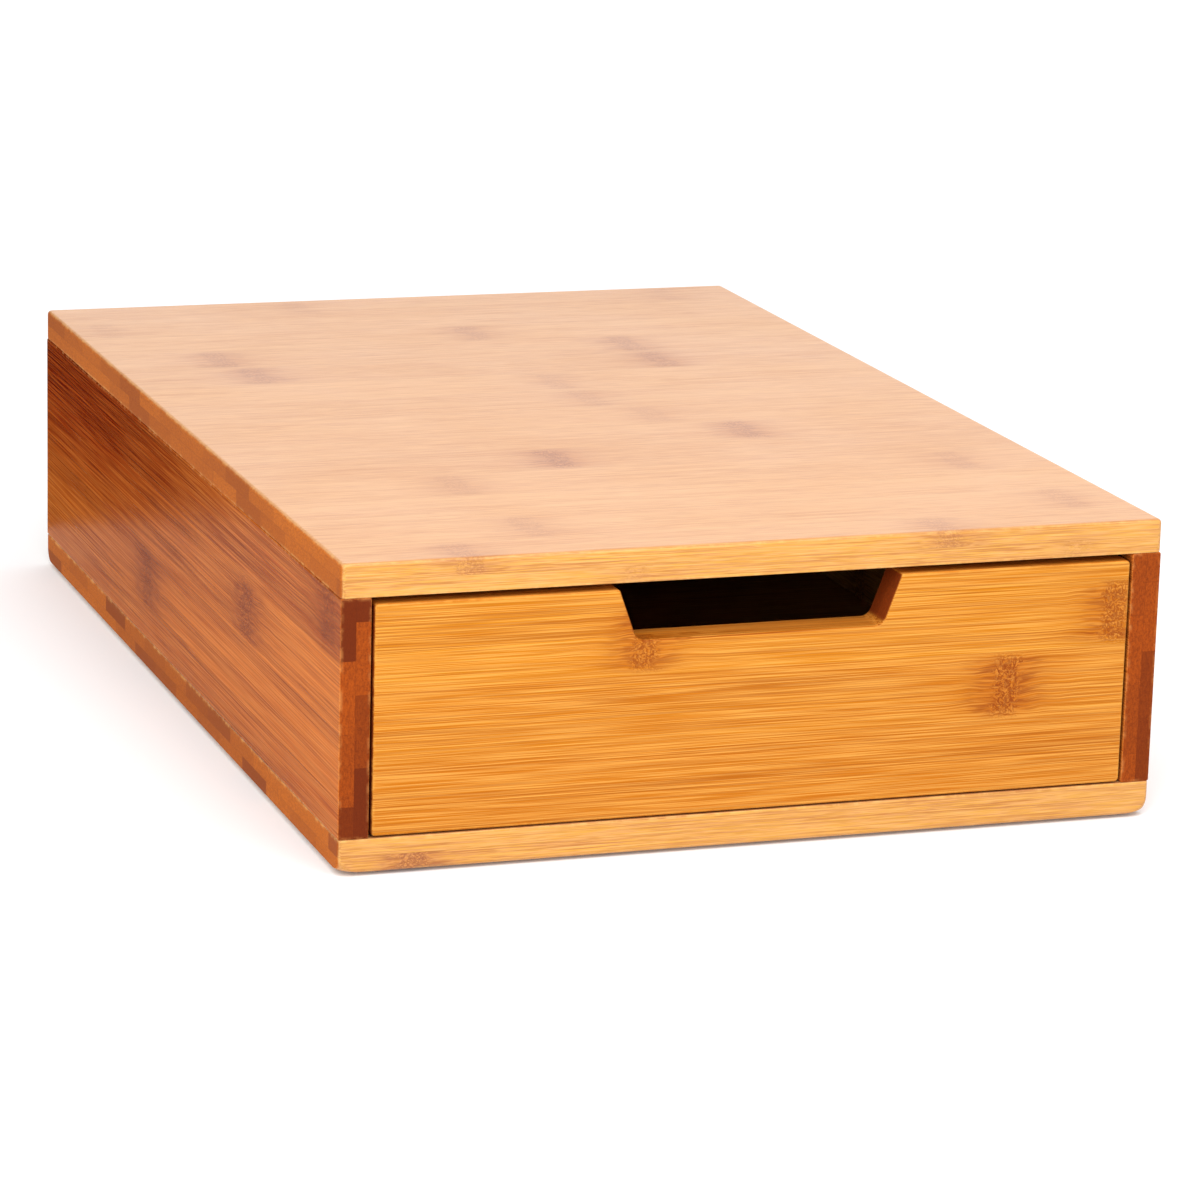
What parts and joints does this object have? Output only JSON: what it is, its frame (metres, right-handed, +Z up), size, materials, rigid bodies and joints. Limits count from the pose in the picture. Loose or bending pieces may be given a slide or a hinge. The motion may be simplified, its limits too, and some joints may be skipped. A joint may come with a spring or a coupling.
{
  "type": "desk box with drawer",
  "caption": "Low bamboo desk box with one full-width flush drawer that slides out by a finger notch in its front.",
  "frame": {"origin": "on the standing surface, under the middle of the case", "axes": "+Z up, the drawer opens towards -Y, +X to the right seen from the front"},
  "size_m": [0.25, 0.375, 0.091],
  "materials": {
    "bamboo_panels": "satin lacquer over caramel bamboo laths, grain left to right",
    "bamboo_sides": "satin lacquer over darker caramel bamboo laths, grain front to back",
    "bamboo_drawer_front": "satin lacquer over honey bamboo laths, grain left to right",
    "bamboo_drawer_box": "sanded bamboo with a thin lacquer",
    "dowel_wood": "plain beech dowel",
    "zinc_screw": "bright zinc-plated steel",
    "pad_rubber": "matt dark rubber"
  },
  "bodies": {
    "case": {"top_panel": "bamboo_panels", "bottom_panel": "bamboo_panels", "back_panel": "bamboo_panels", "left_side_panel": "bamboo_sides", "right_side_panel": "bamboo_sides", "left_top_dowel_1": "dowel_wood", "left_top_dowel_2": "dowel_wood", "left_top_dowel_3": "dowel_wood", "right_top_dowel_1": "dowel_wood", "right_top_dowel_2": "dowel_wood", "right_top_dowel_3": "dowel_wood", "left_back_dowel_1": "dowel_wood", "left_back_dowel_2": "dowel_wood", "right_back_dowel_1": "dowel_wood", "right_back_dowel_2": "dowel_wood", "left_case_screw_1": "zinc_screw", "left_case_screw_2": "zinc_screw", "left_case_screw_3": "zinc_screw", "right_case_screw_1": "zinc_screw", "right_case_screw_2": "zinc_screw", "right_case_screw_3": "zinc_screw", "foot_pad_front_left": "pad_rubber", "foot_pad_front_right": "pad_rubber", "foot_pad_rear_left": "pad_rubber", "foot_pad_rear_right": "pad_rubber"},
    "drawer": {"drawer_front": "bamboo_drawer_front", "drawer_left_side": "bamboo_drawer_box", "drawer_right_side": "bamboo_drawer_box", "drawer_back": "bamboo_drawer_box", "drawer_bottom": "bamboo_drawer_box", "drawer_left_dowel_1": "dowel_wood", "drawer_left_dowel_2": "dowel_wood", "drawer_right_dowel_1": "dowel_wood", "drawer_right_dowel_2": "dowel_wood", "drawer_left_screw_1": "zinc_screw", "drawer_left_screw_2": "zinc_screw", "drawer_right_screw_1": "zinc_screw", "drawer_right_screw_2": "zinc_screw", "drawer_bottom_screw_1": "zinc_screw", "drawer_bottom_screw_2": "zinc_screw", "drawer_bottom_screw_3": "zinc_screw"}
  },
  "joints": [
    {"name": "drawer_slide", "type": "slide", "parent": "case", "child": "drawer", "axis": [0, -1, 0], "range_m": [0, 0.3]}
  ]
}
